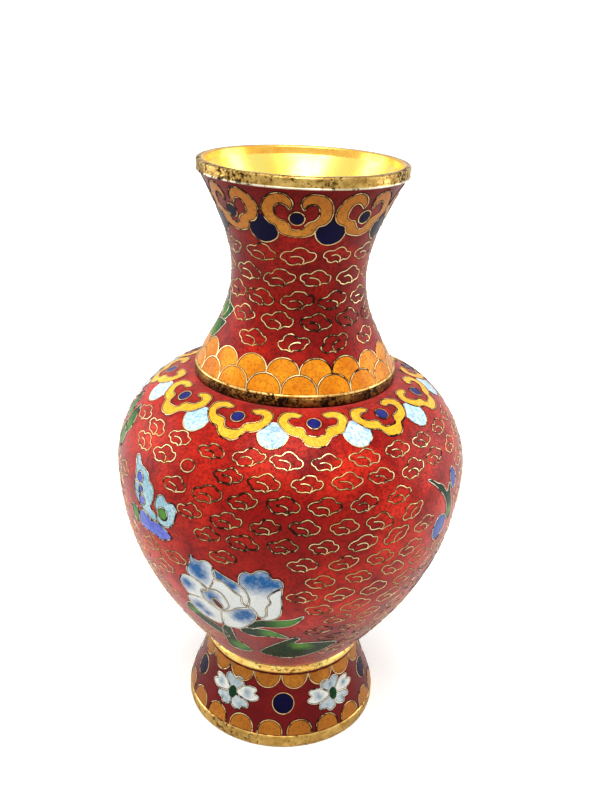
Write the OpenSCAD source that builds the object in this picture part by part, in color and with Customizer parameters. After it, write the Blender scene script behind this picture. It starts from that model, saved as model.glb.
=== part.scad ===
// Baluster cloisonne vase: copper sections soldered to turned brass rings,
// with fired enamel over the copper and inlaid enamel cells let into the ground.
// The origin is the centre of the base, +Z up. Millimetres.

/* [Foot] */
// Outer radius of the foot ring
foot_ring_r = 26.4; // [26:0.1:27]
// Height of the foot ring
foot_ring_h = 4; // [3.8:0.1:4.2]
// Radius where the foot meets the belly
foot_top_r = 20.8; // [20.4:0.1:21.2]
// Height where the foot meets the belly
foot_top_z = 22.1; // [21.8:0.1:22.4]

/* [Belly] */
// Largest radius of the belly
belly_r = 45; // [42:0.5:48]
// Height of the widest point
belly_z = 77.5; // [74:0.5:80]
// Height of the flat top of the shoulder
shoulder_z = 99.5; // [98:0.5:101]

/* [Neck] */
// Radius of the brass collar at the base of the neck
collar_r = 25.4; // [25:0.1:26]
// Height of the collar above the shoulder
collar_h = 2.7; // [2.4:0.1:3]
// Smallest radius of the neck
waist_r = 16.5; // [15:0.5:18]
// Height of the smallest radius
waist_z = 125.5; // [123:0.5:128]
// Radius of the neck where it meets the mouth ring
mouth_r = 24.5; // [24:0.1:25]
// Outer radius of the mouth ring
mouth_ring_r = 25.3; // [25.2:0.1:26]
// Height of the mouth ring
mouth_ring_h = 2.8; // [2.4:0.1:3.2]
// Overall height of the vase
vase_h = 152; // [150:1:156]

/* [Walls] */
// Thickness of the copper
copper_t = 0.8; // [0.8:0.1:1.2]
// Thickness of the enamel coat
enamel_t = 1; // [0.8:0.1:1.1]

/* [Pattern] */
// Cloud-collar heads round the mouth
neck_heads = 8; // [6:1:8]
// Cloud-collar heads round the shoulder
shoulder_heads = 11; // [9:1:11]
// Scales in each row at the base of the neck
neck_scales = 18; // [16:1:18]
// Scales hanging below the foot joint
foot_upper_scales = 18; // [16:1:18]
// Scales standing on the foot ring
foot_lower_scales = 20; // [16:1:20]
// Flowers round the foot, with a round boss between each pair
foot_flowers_n = 5; // [4:1:5]

/* [Hidden] */

$fn = 96;
steps = 10;                       // straight lengths in each curve of the outline
wall_t = copper_t + enamel_t;
spigot_t = 0.8;                   // wall of the sleeves that join the sections
lap_h = 2;                        // overlap of the two belly halves
cell_depth = 4;                   // reach of an inlay cutter each way from the surface
front = -90;                      // turn that brings a pattern to the front, -Y

collar_top_z = shoulder_z + collar_h;
mouth_z = vase_h - mouth_ring_h;
neck_base_r = collar_r - 0.7;
floor_z = foot_top_z - 0.2;
joint_low_z = foot_top_z - 2;
joint_top_z = foot_top_z + 1.2;

// ---- Outline ----------------------------------------------------------------

function bezier(a, b, c, d) =
    [for (i = [0:steps]) let (t = i / steps, u = 1 - t)
        u*u*u*a + 3*u*u*t*b + 3*u*t*t*c + t*t*t*d];

function arc(centre, r, from, to, n = 5) =
    [for (i = [0:n]) let (a = from + (to - from) * i / n) centre + r * [cos(a), sin(a)]];

function tail(list) = [for (i = [1:len(list) - 1]) list[i]];

// Each path is a list of [radius, height] from low to high on the enamel's outer face.
foot_path = concat(
    [[foot_ring_r + 0.3, foot_ring_h - 2]],
    bezier([foot_ring_r - 0.2, foot_ring_h], [foot_ring_r - 1.2, foot_ring_h + 4.6],
           [foot_top_r + 0.6, foot_top_z - 7.5], [foot_top_r, foot_top_z]),
    [[foot_top_r, foot_top_z + 2]]);

belly_start_slope = [0.62, 0.79];
belly_path = concat(
    [[foot_top_r, foot_top_z] - 3 * belly_start_slope],
    bezier([foot_top_r, foot_top_z], [foot_top_r, foot_top_z] + 23.5 * belly_start_slope,
           [belly_r, belly_z - 23], [belly_r, belly_z]),
    tail(bezier([belly_r, belly_z], [belly_r, belly_z + 7],
                [collar_r + 12.6, shoulder_z], [collar_r - 0.9, shoulder_z])),
    [[collar_r - 3.4, shoulder_z]]);

neck_path = concat(
    [[neck_base_r + 0.9, collar_top_z - 2]],
    bezier([neck_base_r, collar_top_z], [neck_base_r - 3.4, collar_top_z + 8],
           [waist_r, waist_z - 10], [waist_r, waist_z]),
    tail(bezier([waist_r, waist_z], [waist_r, waist_z + 7.7],
                [mouth_r - 3.6, mouth_z - 6.9], [mouth_r, mouth_z])),
    [[mouth_r + 1.1, mouth_z + 2]]);

// The path moved inwards, square to itself.
function inset(path, d) =
    [for (i = [0:len(path) - 1])
        let (along = path[min(i + 1, len(path) - 1)] - path[max(i - 1, 0)],
             unit = along / norm(along))
        path[i] + d * [-unit[1], unit[0]]];

function reversed(list) = [for (i = [len(list) - 1:-1:0]) list[i]];

function radius_at(path, z) = lookup(z, [for (p = path) [p[1], p[0]]]);

// Upward lean of the surface's normal, in degrees.
function lean_at(path, z) = atan2(radius_at(path, z - 0.5) - radius_at(path, z + 0.5), 1);

// ---- Building blocks --------------------------------------------------------

// The layer between two depths under a path, cut level at two heights.
module layer(path, outer_d, inner_d, z_low, z_high) {
    intersection() {
        rotate_extrude() polygon(concat(inset(path, outer_d), reversed(inset(path, inner_d))));
        translate([0, 0, z_low]) cylinder(r = belly_r + 10, h = z_high - z_low);
    }
}

module neck_coat() layer(neck_path, 0, enamel_t, collar_top_z, mouth_z);

module belly_coat() {
    difference() {
        layer(belly_path, 0, enamel_t, joint_top_z, shoulder_z + 1);
        translate([0, 0, shoulder_z - 3]) cylinder(r = collar_r, h = 6);
    }
}

module foot_coat() layer(foot_path, 0, enamel_t, foot_ring_h, joint_low_z);

// Children stand square on the surface: X runs right, Y up, and Z out.
module on_surface(path, angle, z) {
    rotate([0, 0, front + angle]) translate([radius_at(path, z), 0, z])
        rotate([0, 90 - lean_at(path, z), 0]) rotate([0, 0, 90]) children();
}

module ring_of(count, path, z, start = 0) {
    for (i = [0:count - 1]) on_surface(path, start + i * 360 / count, z) children();
}

module disc_cutter(r, at = [0, 0]) {
    translate([at[0], at[1], -cell_depth]) cylinder(r = r, h = 2 * cell_depth);
}

module bar_cutter(low, high) {
    translate([low[0], low[1], -cell_depth])
        cube([high[0] - low[0], high[1] - low[1], 2 * cell_depth]);
}

// A pointed leaf on X, where two discs cross. Its half width is width.
module leaf_cutter(length, width, turn = 0, at = [0, 0]) {
    disc_r = (length * length / 4 + width * width) / (2 * width);
    translate([at[0], at[1], 0]) rotate([0, 0, turn]) intersection() {
        disc_cutter(disc_r, [0, disc_r - width]);
        disc_cutter(disc_r, [0, width - disc_r]);
    }
}

// ---- Cells, as cutters ------------------------------------------------------

head_lobe_r = 3.5;
head_drop_r = 3.9;
lappet_r = 3.7;

module head_outline() {
    for (side = [-1, 1]) disc_cutter(head_lobe_r, [side * 4.1, 2.2]);
    disc_cutter(head_drop_r, [0, -1.4]);
}

module head_window() {
    for (side = [-1, 1]) disc_cutter(1.8, [side * 3.4, 1.5]);
    disc_cutter(2.2, [0, -0.6]);
    bar_cutter([-0.8, 0], [0.8, 8]);
}

neck_head_z = vase_h - 9.7;
neck_lappet_z = neck_head_z - 3.1;
neck_start = -2.5;

module neck_head_outlines() ring_of(neck_heads, neck_path, neck_head_z, neck_start) head_outline();

module neck_head_cells() {
    ring_of(neck_heads, neck_path, neck_head_z, neck_start) difference() {
        head_outline();
        head_window();
    }
}

module neck_dot_cells() ring_of(neck_heads, neck_path, neck_head_z, neck_start) disc_cutter(1.6);

module neck_lappet_cells() {
    difference() {
        ring_of(neck_heads, neck_path, neck_lappet_z, neck_start + 180 / neck_heads)
            disc_cutter(lappet_r);
        neck_head_outlines();
    }
}

neck_scale_r = PI * radius_at(neck_path, collar_top_z + 4.5) / neck_scales - 0.35;
neck_low_scale_r = PI * radius_at(neck_path, collar_top_z + 1) / neck_scales - 0.35;
neck_scale_start = 3;

module neck_lower_scale_cells() {
    ring_of(neck_scales, neck_path, collar_top_z + 0.3, neck_scale_start)
        disc_cutter(neck_low_scale_r);
}

module neck_upper_scale_cells() {
    difference() {
        ring_of(neck_scales, neck_path, collar_top_z + 4.5, neck_scale_start + 180 / neck_scales) {
            disc_cutter(neck_scale_r);
        }
        neck_lower_scale_cells();
    }
}

module neck_leaf_cells() {
    on_surface(neck_path, -75, collar_top_z + 16) {
        leaf_cutter(9, 2.4, 35);
        leaf_cutter(8, 2, -30, [-3, -6]);
    }
    on_surface(neck_path, 180, collar_top_z + 20) {
        leaf_cutter(9, 2.4, 30, [6, 3]);
        leaf_cutter(9, 2.4, 150, [-6, 3]);
    }
}

shoulder_head_z = shoulder_z - 1.4;
shoulder_lappet_z = shoulder_z - 3;
shoulder_start = 9.3;

module shoulder_head_outlines() {
    ring_of(shoulder_heads, belly_path, shoulder_head_z, shoulder_start) head_outline();
}

module shoulder_head_cells() {
    ring_of(shoulder_heads, belly_path, shoulder_head_z, shoulder_start) difference() {
        head_outline();
        head_window();
    }
}

module shoulder_dot_cells() {
    ring_of(shoulder_heads, belly_path, shoulder_head_z, shoulder_start) disc_cutter(1.5);
}

module shoulder_lappet_cells() {
    difference() {
        ring_of(shoulder_heads, belly_path, shoulder_lappet_z,
                shoulder_start + 180 / shoulder_heads) disc_cutter(lappet_r);
        shoulder_head_outlines();
    }
}

peony_angle = -18;
peony_z = 55;
peony_petal_n = 7;

module peony_bloom_cells() {
    on_surface(belly_path, peony_angle, peony_z) difference() {
        for (i = [0:peony_petal_n - 1]) {
            turn = i * 360 / peony_petal_n;
            disc_cutter(5, 8 * [cos(turn), 0.8 * sin(turn)]);
        }
        disc_cutter(4.6);
    }
}

module peony_heart_cell() on_surface(belly_path, peony_angle, peony_z) disc_cutter(4.2);

module peony_leaf_cells() {
    on_surface(belly_path, peony_angle + 16, peony_z - 11.5) leaf_cutter(16, 2.4, 18);
    on_surface(belly_path, peony_angle + 10, peony_z - 18.5) leaf_cutter(12, 1.8, -12);
    on_surface(belly_path, peony_angle + 21, peony_z - 24) leaf_cutter(22, 3);
    on_surface(belly_path, peony_angle - 4, peony_z - 19) leaf_cutter(14, 1.8, 95);
}

butterfly_angle = -48;
butterfly_z = 73;

module butterfly_wing_cells() {
    on_surface(belly_path, butterfly_angle, butterfly_z) {
        leaf_cutter(14, 3.2, 100, [-2, 5.5]);
        disc_cutter(3.2, [7, 2]);
    }
}

module butterfly_body_cell() {
    on_surface(belly_path, butterfly_angle, butterfly_z) leaf_cutter(12, 1.7, -10, [2.4, -4.8]);
}

sprig_angle = 56;
sprig_z = 77;

module sprig_bud_cells() {
    on_surface(belly_path, sprig_angle, sprig_z) {
        leaf_cutter(7, 1.6, 80, [6.5, 2.6]);
        leaf_cutter(8, 2, 75, [-1.5, -8.5]);
    }
}

module sprig_leaf_cells() {
    on_surface(belly_path, sprig_angle, sprig_z) {
        leaf_cutter(10, 1.3, -38, [-3, 4.5]);
        leaf_cutter(7, 1.1, -65, [3.2, -3.2]);
    }
}

foot_scale_r = 3.3;
foot_upper_start = 10;
foot_lower_start = -5.4;
foot_motif_z = 12.2;
boss_start = 2.2;
first_petal = 95;

module foot_upper_scale_cells() {
    ring_of(foot_upper_scales, foot_path, joint_low_z - 0.2, foot_upper_start)
        disc_cutter(foot_scale_r);
}

module foot_lower_scale_cells() {
    ring_of(foot_lower_scales, foot_path, foot_ring_h + 0.8, foot_lower_start)
        disc_cutter(foot_scale_r);
}

module foot_boss_cells() ring_of(foot_flowers_n, foot_path, foot_motif_z, boss_start) disc_cutter(2.8);

module foot_petal_cells() {
    ring_of(foot_flowers_n, foot_path, foot_motif_z, boss_start + 180 / foot_flowers_n) {
        for (i = [0:4]) {
            turn = first_petal + i * 72;
            disc_cutter(1.5, 3.9 * [cos(turn), 0.68 * sin(turn)]);
        }
    }
}

module foot_centre_cells() {
    ring_of(foot_flowers_n, foot_path, foot_motif_z, boss_start + 180 / foot_flowers_n)
        disc_cutter(1);
}

// ---- Brass rings ------------------------------------------------------------

module mouth_ring() color("gold") {
    outline = concat(
        [[mouth_r - 2.3, mouth_z]],
        arc([mouth_ring_r - 0.3, mouth_z + 0.3], 0.3, -90, 0, 3),
        arc([mouth_ring_r - 0.9, vase_h - 0.9], 0.9, 0, 90),
        arc([mouth_ring_r - 1.4, vase_h - 0.5], 0.5, 90, 180, 4));
    rotate_extrude() polygon(outline);
    layer(neck_path, wall_t, wall_t + spigot_t, mouth_z - 1.8, mouth_z + 0.5);
}

module neck_collar() color("darkgoldenrod") {
    bore_r = collar_r - 4.5;
    sleeve_r = collar_r - 3.4;
    seat_z = shoulder_z - enamel_t;
    outline = concat(
        [[bore_r, seat_z - 2.2], [sleeve_r, seat_z - 2.2], [sleeve_r, seat_z]],
        [[collar_r, seat_z]],
        arc([collar_r - 0.6, collar_top_z - 0.6], 0.6, 0, 90),
        [[bore_r, collar_top_z]]);
    rotate_extrude() polygon(outline);
    layer(neck_path, wall_t, wall_t + spigot_t, collar_top_z - 0.5, collar_top_z + 2);
}

module foot_joint_ring() color("gold") {
    bead_h = joint_top_z - joint_low_z;
    bead_sink = bead_h / 2 - 0.75;
    seat_r = foot_top_r - 1.5;
    difference() {
        rotate_extrude() polygon(concat(
            [[seat_r, joint_low_z]],
            arc([foot_top_r - bead_sink, (joint_low_z + joint_top_z) / 2], bead_h / 2, -90, 90, 8),
            [[seat_r, joint_top_z]]));
        belly_copper();
        foot_copper();
    }
}

module foot_ring() color("goldenrod") {
    bore_r = foot_ring_r - 4;
    ledge_r = bore_r + 0.8;
    ledge_z = foot_ring_h - 1.4;
    outline = concat(
        [[bore_r, 0]],
        arc([foot_ring_r - 1, 0.6], 0.6, -90, -30, 3),
        arc([foot_ring_r - 0.8, foot_ring_h - 0.8], 0.8, 0, 70, 4),
        [[ledge_r, foot_ring_h], [ledge_r, ledge_z], [bore_r, ledge_z]]);
    rotate_extrude() polygon(outline);
    layer(foot_path, wall_t, wall_t + spigot_t, foot_ring_h - 0.3, foot_ring_h + 1.4);
}

// ---- Copper sections --------------------------------------------------------

module neck_shell() color("peru") layer(neck_path, enamel_t, wall_t, collar_top_z, mouth_z);

module lap_tongue() {
    intersection() {
        layer(belly_path, enamel_t, wall_t, belly_z - 0.5, belly_z + lap_h);
        cylinder(r = belly_r - enamel_t - copper_t / 2, h = vase_h);
    }
}

module shoulder_shell() color("peru") {
    difference() {
        layer(belly_path, enamel_t, wall_t, belly_z, shoulder_z);
        lap_tongue();
    }
}

module belly_copper() {
    layer(belly_path, enamel_t, wall_t, floor_z, belly_z);
    translate([0, 0, floor_z]) cylinder(r = foot_top_r - enamel_t - 0.6, h = copper_t);
}

module belly_shell() color("peru") {
    belly_copper();
    lap_tongue();
}

module foot_copper() {
    flange_r = foot_top_r - enamel_t;
    layer(foot_path, enamel_t, wall_t, foot_ring_h, floor_z);
    translate([0, 0, floor_z - copper_t]) difference() {
        cylinder(r = flange_r - 0.3, h = copper_t);
        translate([0, 0, -1]) cylinder(r = flange_r - 6, h = copper_t + 2);
    }
}

module foot_shell() color("peru") foot_copper();

module base_plate() color("peru") {
    translate([0, 0, foot_ring_h - 1.4]) cylinder(r = foot_ring_r - 3.2, h = copper_t);
}

// ---- Enamel -----------------------------------------------------------------

module neck_enamel() color("firebrick") {
    difference() {
        neck_coat();
        neck_head_cells();
        neck_dot_cells();
        neck_lappet_cells();
        neck_upper_scale_cells();
        neck_lower_scale_cells();
        neck_leaf_cells();
    }
}

module belly_enamel() color("firebrick") {
    difference() {
        belly_coat();
        shoulder_head_cells();
        shoulder_dot_cells();
        shoulder_lappet_cells();
        peony_bloom_cells();
        peony_heart_cell();
        peony_leaf_cells();
        butterfly_wing_cells();
        butterfly_body_cell();
        sprig_bud_cells();
        sprig_leaf_cells();
    }
}

module foot_enamel() color("brown") {
    difference() {
        foot_coat();
        foot_upper_scale_cells();
        foot_lower_scale_cells();
        foot_boss_cells();
        foot_petal_cells();
        foot_centre_cells();
    }
}

module base_enamel() color("teal") {
    translate([0, 0, foot_ring_h - 2.1]) cylinder(r = foot_ring_r - 4, h = 0.7);
}

module neck_cells(paint) color(paint) intersection() { neck_coat(); children(); }
module belly_cells(paint) color(paint) intersection() { belly_coat(); children(); }
module foot_cells(paint) color(paint) intersection() { foot_coat(); children(); }

module neck_heads_inlay() neck_cells("goldenrod") neck_head_cells();
module neck_lappets() neck_cells("midnightblue") neck_lappet_cells();
module neck_dots() neck_cells("navy") neck_dot_cells();
module neck_upper_scales() neck_cells("orange") neck_upper_scale_cells();
module neck_lower_scales() neck_cells("darkorange") neck_lower_scale_cells();
module neck_leaves() neck_cells("green") neck_leaf_cells();

module shoulder_heads_inlay() belly_cells("gold") shoulder_head_cells();
module shoulder_lappets() belly_cells("lightblue") shoulder_lappet_cells();
module shoulder_dots() belly_cells("navy") shoulder_dot_cells();
module peony_bloom() belly_cells("aliceblue") peony_bloom_cells();
module peony_heart() belly_cells("steelblue") peony_heart_cell();
module peony_leaves() belly_cells("darkgreen") peony_leaf_cells();
module butterfly_wings() belly_cells("powderblue") butterfly_wing_cells();
module butterfly_body() belly_cells("slateblue") butterfly_body_cell();
module sprig_buds() belly_cells("royalblue") sprig_bud_cells();
module sprig_leaves() belly_cells("darkgreen") sprig_leaf_cells();

module foot_upper_scales_inlay() foot_cells("orange") foot_upper_scale_cells();
module foot_lower_scales_inlay() foot_cells("orange") foot_lower_scale_cells();
module foot_bosses() foot_cells("navy") foot_boss_cells();
module foot_petals() foot_cells("lightblue") foot_petal_cells();
module foot_flower_centres() foot_cells("green") foot_centre_cells();

// ---- Nodes ------------------------------------------------------------------

mouth_ring();
neck_shell();
neck_collar();
shoulder_shell();
belly_shell();
foot_joint_ring();
foot_shell();
foot_ring();
base_plate();
neck_enamel();
belly_enamel();
foot_enamel();
base_enamel();
neck_heads_inlay();
neck_lappets();
neck_dots();
neck_upper_scales();
neck_lower_scales();
neck_leaves();
shoulder_heads_inlay();
shoulder_lappets();
shoulder_dots();
peony_bloom();
peony_heart();
peony_leaves();
butterfly_wings();
butterfly_body();
sprig_buds();
sprig_leaves();
foot_upper_scales_inlay();
foot_lower_scales_inlay();
foot_bosses();
foot_petals();
foot_flower_centres();
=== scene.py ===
"""Looks for the cloisonne vase: smooth enamel grounds, raised cells, brass wires and turned brass rings.

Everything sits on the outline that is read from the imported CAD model. Pattern sizes are in millimetres,
x round the vase to the right and y up along the outline. Angles are in degrees from the front (-Y).
"""
import math
import random

import bpy
import numpy as np
from mathutils import Matrix, Vector
from mathutils.bvhtree import BVHTree
from mathutils.geometry import delaunay_2d_cdt


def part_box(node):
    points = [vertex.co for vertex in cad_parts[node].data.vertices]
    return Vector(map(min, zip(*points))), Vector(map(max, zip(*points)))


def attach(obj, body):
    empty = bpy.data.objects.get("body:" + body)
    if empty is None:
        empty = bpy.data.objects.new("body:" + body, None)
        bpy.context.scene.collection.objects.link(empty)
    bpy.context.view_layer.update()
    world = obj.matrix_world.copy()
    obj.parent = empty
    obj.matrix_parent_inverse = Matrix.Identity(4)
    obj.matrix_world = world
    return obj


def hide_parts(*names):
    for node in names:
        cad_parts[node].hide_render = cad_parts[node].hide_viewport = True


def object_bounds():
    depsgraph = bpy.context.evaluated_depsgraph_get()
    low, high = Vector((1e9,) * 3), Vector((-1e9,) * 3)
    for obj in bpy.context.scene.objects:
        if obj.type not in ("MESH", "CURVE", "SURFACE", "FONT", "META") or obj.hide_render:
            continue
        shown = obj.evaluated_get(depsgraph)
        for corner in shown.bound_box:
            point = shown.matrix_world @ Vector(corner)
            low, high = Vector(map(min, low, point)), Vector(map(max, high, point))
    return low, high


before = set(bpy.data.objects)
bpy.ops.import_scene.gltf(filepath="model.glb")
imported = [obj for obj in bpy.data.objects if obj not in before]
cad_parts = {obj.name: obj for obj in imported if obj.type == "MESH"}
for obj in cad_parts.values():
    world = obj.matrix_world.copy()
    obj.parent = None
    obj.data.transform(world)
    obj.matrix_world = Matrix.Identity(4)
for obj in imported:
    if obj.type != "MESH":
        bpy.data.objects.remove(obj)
cad_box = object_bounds()

MM = 0.001
rng = random.Random(11)


# ---- Outline of the three enamelled sections ----

class Wall:
    """The smooth outer face of one section, as seen in the CAD nodes that cover it."""

    def __init__(self, nodes, degree):
        verts = []
        faces = []
        for name in nodes:
            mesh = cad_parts[name].data
            start = len(verts)
            verts += [v.co / MM for v in mesh.vertices]
            faces += [[start + i for i in p.vertices] for p in mesh.polygons]
        tree = BVHTree.FromPolygons(verts, faces)
        heights = [v.z for v in verts]
        self.low, self.high = min(heights), max(heights)
        middle = (self.low + self.high) / 2
        phi_low = self.edge_angle(verts, self.low, middle)
        phi_high = self.edge_angle(verts, self.high, middle)
        phis = np.linspace(phi_low, phi_high, 140)[1:-1]
        reach = [self.probe(tree, phi, middle) for phi in phis]
        curve = np.polynomial.Chebyshev.fit(phis, reach, degree)
        fine = np.linspace(phi_low, phi_high, 600)
        self.r = curve(fine) * np.cos(fine)
        self.z = middle + curve(fine) * np.sin(fine)
        self.s = np.concatenate([[0], np.cumsum(np.hypot(np.diff(self.r), np.diff(self.z)))])
        self.length = self.s[-1]

    @staticmethod
    def edge_angle(verts, height, middle):
        radius = max(math.hypot(v.x, v.y) for v in verts if abs(v.z - height) < 0.01)
        return math.atan2(height - middle, radius)

    @staticmethod
    def probe(tree, phi, middle):
        far = 120
        found = []
        for turn in (0.3, 1.9, 3.4, 5.1):
            out = Vector((math.cos(phi) * math.cos(turn), math.cos(phi) * math.sin(turn), math.sin(phi)))
            hit = tree.ray_cast(Vector((0, 0, middle)) + far * out, -out)
            if hit[0] is not None:
                found.append(far - hit[3])
        return float(np.median(found))

    def along(self, s):
        """Radius, height and outward normal (radial, vertical) at arc lengths s."""
        s = np.asarray(s, dtype=float)
        radius = np.interp(s, self.s, self.r)
        height = np.interp(s, self.s, self.z)
        step = 0.3
        ahead = np.clip(s + step, 0, self.length)
        behind = np.clip(s - step, 0, self.length)
        d_r = np.interp(ahead, self.s, self.r) - np.interp(behind, self.s, self.r)
        d_z = np.interp(ahead, self.s, self.z) - np.interp(behind, self.s, self.z)
        size = np.hypot(d_r, d_z)
        return radius, height, d_z / size, -d_r / size

    def point(self, angle, s, lift):
        """Points in space for angles in radians, arc lengths and heights above the surface, in mm."""
        radius, height, n_r, n_z = self.along(s)
        radius = radius + lift * n_r
        height = height + lift * n_z
        return np.stack([radius * np.sin(angle), -radius * np.cos(angle), height], axis=-1)

    def s_at(self, z):
        return float(np.interp(z, self.z, self.s))

    def radius_at(self, s):
        return float(np.interp(s, self.s, self.r))

    def place(self, flat, centre, lift):
        """Flat pattern points (x, y) round centre (angle in degrees, s) laid on the surface."""
        flat = np.asarray(flat, dtype=float)
        s = np.clip(centre[1] + flat[:, 1], 0, self.length)
        radius = self.along(s)[0]
        angle = math.radians(centre[0]) + flat[:, 0] / radius
        return self.point(angle, s, lift)


neck = Wall(["neck_enamel", "neck_upper_scales", "neck_lower_scales", "neck_heads_inlay",
             "neck_lappets", "neck_dots", "neck_leaves"], 9)
belly = Wall(["belly_enamel", "shoulder_heads_inlay", "shoulder_lappets", "shoulder_dots",
              "peony_bloom", "peony_heart", "peony_leaves", "butterfly_wings", "butterfly_body",
              "sprig_buds", "sprig_leaves"], 14)
foot = Wall(["foot_enamel", "foot_upper_scales_inlay", "foot_lower_scales_inlay", "foot_bosses",
             "foot_petals", "foot_flower_centres"], 7)


# ---- Materials ----

def linear(rgb):
    """A colour given as 0 to 255 screen values."""
    return tuple((v / 255 / 12.92) if v < 10.3 else ((v / 255 + 0.055) / 1.055) ** 2.4 for v in rgb) + (1,)


class Shader:
    """Short calls for building one procedural material."""

    def __init__(self, name):
        self.material = bpy.data.materials.new(name)
        self.material.use_nodes = True
        self.tree = self.material.node_tree
        self.bsdf = self.tree.nodes["Principled BSDF"]
        self.coords = self.node("ShaderNodeTexCoord").outputs["Object"]

    def node(self, kind, **values):
        made = self.tree.nodes.new(kind)
        for key, value in values.items():
            setattr(made, key, value)
        return made

    def link(self, source, target):
        self.tree.links.new(source, target)

    def noise(self, size_mm, detail=3, rough=0.55, seed=0):
        """Noise whose features are about size_mm across."""
        made = self.node("ShaderNodeTexNoise")
        shifted = self.node("ShaderNodeVectorMath", operation="ADD")
        shifted.inputs[1].default_value = (seed, seed * 0.7, -seed)
        self.link(self.coords, shifted.inputs[0])
        self.link(shifted.outputs[0], made.inputs["Vector"])
        made.inputs["Scale"].default_value = 1 / (size_mm * MM)
        made.inputs["Detail"].default_value = detail
        made.inputs["Roughness"].default_value = rough
        return made.outputs["Fac"]

    def steps(self, source, low, high):
        """Source spread so that low gives 0 and high gives 1."""
        made = self.node("ShaderNodeMapRange")
        made.inputs["From Min"].default_value = low
        made.inputs["From Max"].default_value = high
        self.link(source, made.inputs["Value"])
        return made.outputs["Result"]

    def feed(self, value, socket):
        """A plain number or colour is set on the socket, and anything else is linked to it."""
        if isinstance(value, (int, float, tuple)):
            socket.default_value = value
        else:
            self.link(value, socket)

    def mix(self, factor, a, b):
        made = self.node("ShaderNodeMix", data_type="RGBA")
        self.link(factor, made.inputs["Factor"])
        self.feed(a, made.inputs["A"])
        self.feed(b, made.inputs["B"])
        return made.outputs["Result"]

    def math(self, operation, a, b):
        made = self.node("ShaderNodeMath", operation=operation)
        self.feed(a, made.inputs[0])
        self.feed(b, made.inputs[1])
        return made.outputs[0]

    def times(self, a, b):
        return self.math("MULTIPLY", a, b)

    def plus(self, a, b):
        return self.math("ADD", a, b)

    def minus(self, a, b):
        return self.math("SUBTRACT", a, b)

    def glaze(self, shine, veil):
        """The even shine of fired glass, and how much paler it is where it is seen edge-on."""
        self.bsdf.inputs["Specular IOR Level"].default_value = shine
        self.bsdf.inputs["Sheen Weight"].default_value = veil
        self.bsdf.inputs["Sheen Roughness"].default_value = 0.36

    def attribute(self, name):
        return self.node("ShaderNodeAttribute", attribute_name=name).outputs["Fac"]

    def finish(self, colour, roughness, bump=None, bump_mm=0.05):
        self.link(colour, self.bsdf.inputs["Base Color"])
        self.link(roughness, self.bsdf.inputs["Roughness"])
        if bump is not None:
            made = self.node("ShaderNodeBump")
            made.inputs["Strength"].default_value = 0.6
            made.inputs["Distance"].default_value = bump_mm * MM
            self.link(bump, made.inputs["Height"])
            self.link(made.outputs["Normal"], self.bsdf.inputs["Normal"])
        return self.material


PIT = linear((44, 12, 8))
GLASS_SHINE = 0.06     # specular level
GLASS_VEIL = 0.3       # sheen
GLASS_GLOSS = 0.26     # roughness


def enamel(name, light, dark, fleck, pit_share, gloss=GLASS_GLOSS, grain_share=0.45,
           shine=GLASS_SHINE, veil=GLASS_VEIL):
    """Fired glass: cloudy colour, fine grain, small dark pits and a ground-down shine."""
    sh = Shader(name)
    sh.glaze(shine, veil)
    cloud_and_shade = sh.steps(sh.noise(7, 4, 0.6), 0.36, 0.64)
    # The glass is darker where the burn map is high: firing burn, and in places painted shade and a painted
    # reflection.
    cloud_and_shade = sh.times(cloud_and_shade, sh.minus(1, sh.attribute("burn_and_shade_map")))
    colour = sh.mix(cloud_and_shade, linear(dark), linear(light))
    grain = sh.steps(sh.noise(0.75, 3, 0.7, 3), 0.46, 0.6)
    colour = sh.mix(sh.times(grain, grain_share), colour, linear(fleck))
    pits = sh.steps(sh.noise(0.42, 1, 0.5, 9), 0.70 - 0.05 * pit_share, 0.76)
    patchy = sh.steps(sh.noise(9, 2, 0.5, 5), 0.35, 0.65)
    pits = sh.times(pits, sh.plus(sh.times(patchy, 0.6), pit_share))
    colour = sh.mix(pits, colour, PIT)
    rough = sh.plus(sh.times(grain, 0.12), gloss)
    relief = sh.minus(sh.times(sh.noise(1.6, 2, 0.5, 2), 0.7), pits)
    return sh.finish(colour, rough, relief, 0.045)


def shaded_enamel(name, base, tint, speck, veil=GLASS_VEIL):
    """Glass whose colour runs from base to tint where the mesh's shade attribute says."""
    sh = Shader(name)
    sh.glaze(GLASS_SHINE, veil)
    shade = sh.attribute("shade")
    wander = sh.times(sh.minus(sh.noise(1.2, 3, 0.6, 4), 0.5), 0.9)
    amount = sh.steps(sh.plus(shade, wander), 0.05, 0.95)
    colour = sh.mix(amount, linear(base), linear(tint))
    grain = sh.steps(sh.noise(0.5, 2, 0.6, 7), 0.55, 0.75)
    colour = sh.mix(sh.times(grain, 0.45), colour, linear(speck))
    rough = sh.plus(sh.times(grain, 0.1), GLASS_GLOSS)
    return sh.finish(colour, rough, sh.noise(1.1, 2, 0.5, 2), 0.04)


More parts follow.
